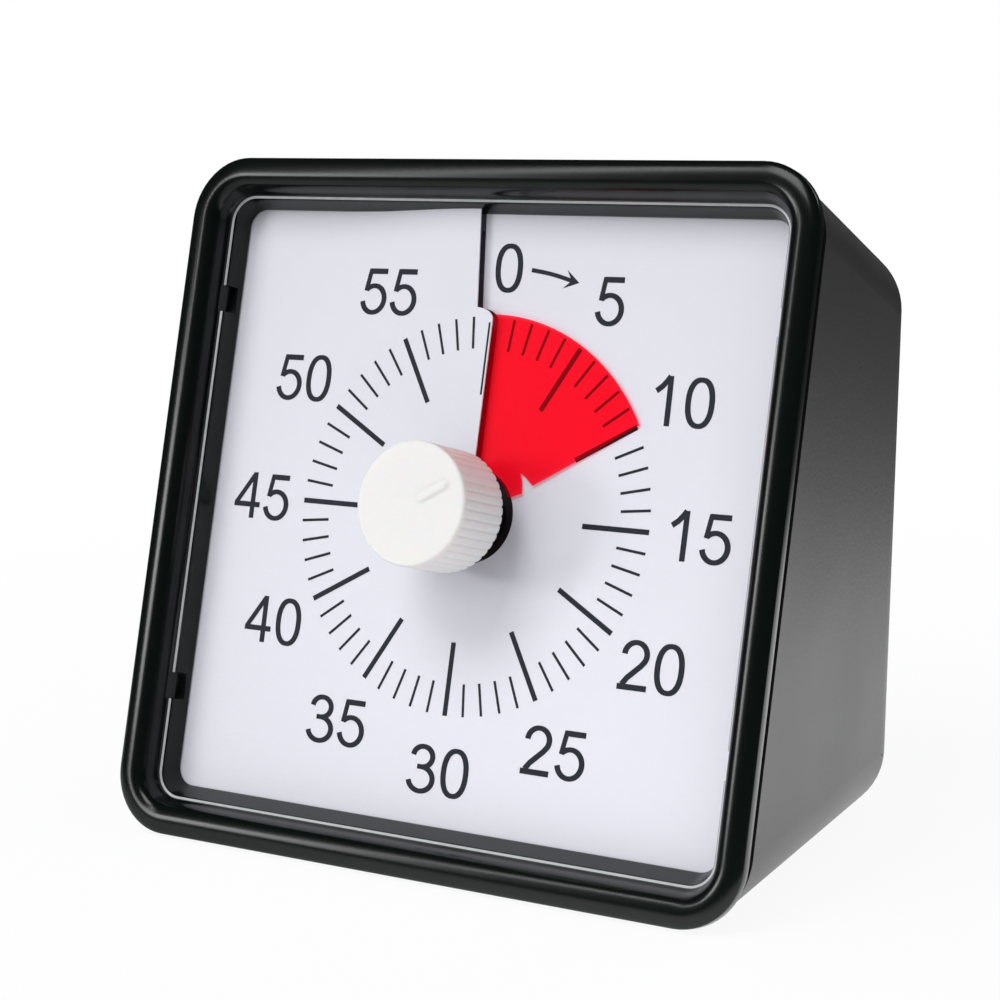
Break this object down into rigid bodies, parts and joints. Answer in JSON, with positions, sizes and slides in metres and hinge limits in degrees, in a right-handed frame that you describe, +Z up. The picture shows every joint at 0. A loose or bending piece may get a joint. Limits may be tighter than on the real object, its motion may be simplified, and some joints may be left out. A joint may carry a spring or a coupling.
{
  "type": "visual countdown timer",
  "caption": "Square tilted desk timer: a knob turns a red film disc through a slit in a numbered dial, and the red sector shrinks as time runs out.",
  "frame": {"origin": "centre of the whole timer's box, on the surface it stands on", "axes": "+X to the right across the dial, +Y to the back, +Z up; the dial faces -Y and leans back 15 degrees"},
  "size_m": [0.0764, 0.0524, 0.0732],
  "materials": {
    "black_gloss": "polished moulded black",
    "black_satin": "satin moulded black, fine grain",
    "dial_print": "off-white printed card",
    "red_film": "translucent red film",
    "knob_white": "satin moulded warm white",
    "hub_black": "satin moulded black",
    "backing_grey": "plain moulded grey",
    "movement_black": "plain moulded",
    "gear_white": "unfilled acetal",
    "spindle_steel": "turned",
    "screw_steel": "zinc plated",
    "spring_brass": "bright",
    "contact_plate_metal": "nickel plated",
    "motor_can": "drawn can",
    "board_green": "solder mask",
    "chip_black": "moulded epoxy",
    "buzzer_black": "moulded",
    "slider_white": "moulded",
    "battery_wrap": "plain printed sleeve"
  },
  "bodies": {
    "stand": {"front_bezel": "black_gloss", "case_body": "black_satin", "dial_card": "dial_print", "dial_backing": "backing_grey", "spindle_bush": "spring_brass", "alarm_contact": "spring_brass", "drive_motor": "motor_can", "movement_cover": "movement_black", "movement_base": "movement_black", "base_screws": "screw_steel", "movement_screws": "screw_steel", "case_screws": "screw_steel", "circuit_board": "board_green", "board_screws": "screw_steel", "controller_chip": "chip_black", "quartz_crystal": "contact_plate_metal", "buzzer": "buzzer_black", "switch_housing": "contact_plate_metal", "battery": "battery_wrap", "contact_spring": "contact_plate_metal", "contact_plate": "contact_plate_metal"},
    "knob": {"setting_knob": "knob_white", "spindle": "spindle_steel", "film_hub": "hub_black", "centre_wheel": "gear_white", "alarm_cam": "gear_white", "clutch_washer": "spindle_steel", "spindle_circlip": "spindle_steel"},
    "film": {"film_disc": "red_film"},
    "third": {"third_wheel": "gear_white"},
    "motor_rotor": {"motor_pinion": "spring_brass"},
    "door": {"battery_door": "black_satin"},
    "slider": {"sound_slider": "slider_white"}
  },
  "joints": [
    {"name": "knob_spin", "type": "hinge", "parent": "stand", "child": "knob", "pos_m": [0, -0.01148, 0.03601], "axis": [0, 0.9659, -0.2588], "range_deg": [-60, 300]},
    {"name": "film_lift", "type": "slide", "parent": "knob", "child": "film", "axis": [0, -0.9659, 0.2588], "range_m": [-0.00019, 0.00092]},
    {"name": "third_wheel_spin", "type": "hinge", "parent": "stand", "child": "third", "pos_m": [-0.007, -0.01461, 0.0243], "axis": [0, 0.9659, -0.2588], "range_deg": [-1805, 365]},
    {"name": "motor_pinion_spin", "type": "hinge", "parent": "stand", "child": "motor_rotor", "pos_m": [-0.007, -0.01151, 0.03589], "axis": [0, 0.9659, -0.2588], "range_deg": [-1810, 9010]},
    {"name": "battery_door_pull", "type": "slide", "parent": "stand", "child": "door", "axis": [0, 1, 0], "range_m": [0, 0.025]},
    {"name": "sound_switch_slide", "type": "slide", "parent": "stand", "child": "slider", "axis": [1, 0, 0], "range_m": [0, 0.004]}
  ],
  "couplings": [
    {"joint": "film_lift", "follows": "knob_spin", "m_per_rad": 0.00017507},
    {"joint": "third_wheel_spin", "follows": "knob_spin", "ratio": -6},
    {"joint": "motor_pinion_spin", "follows": "knob_spin", "ratio": 30}
  ]
}
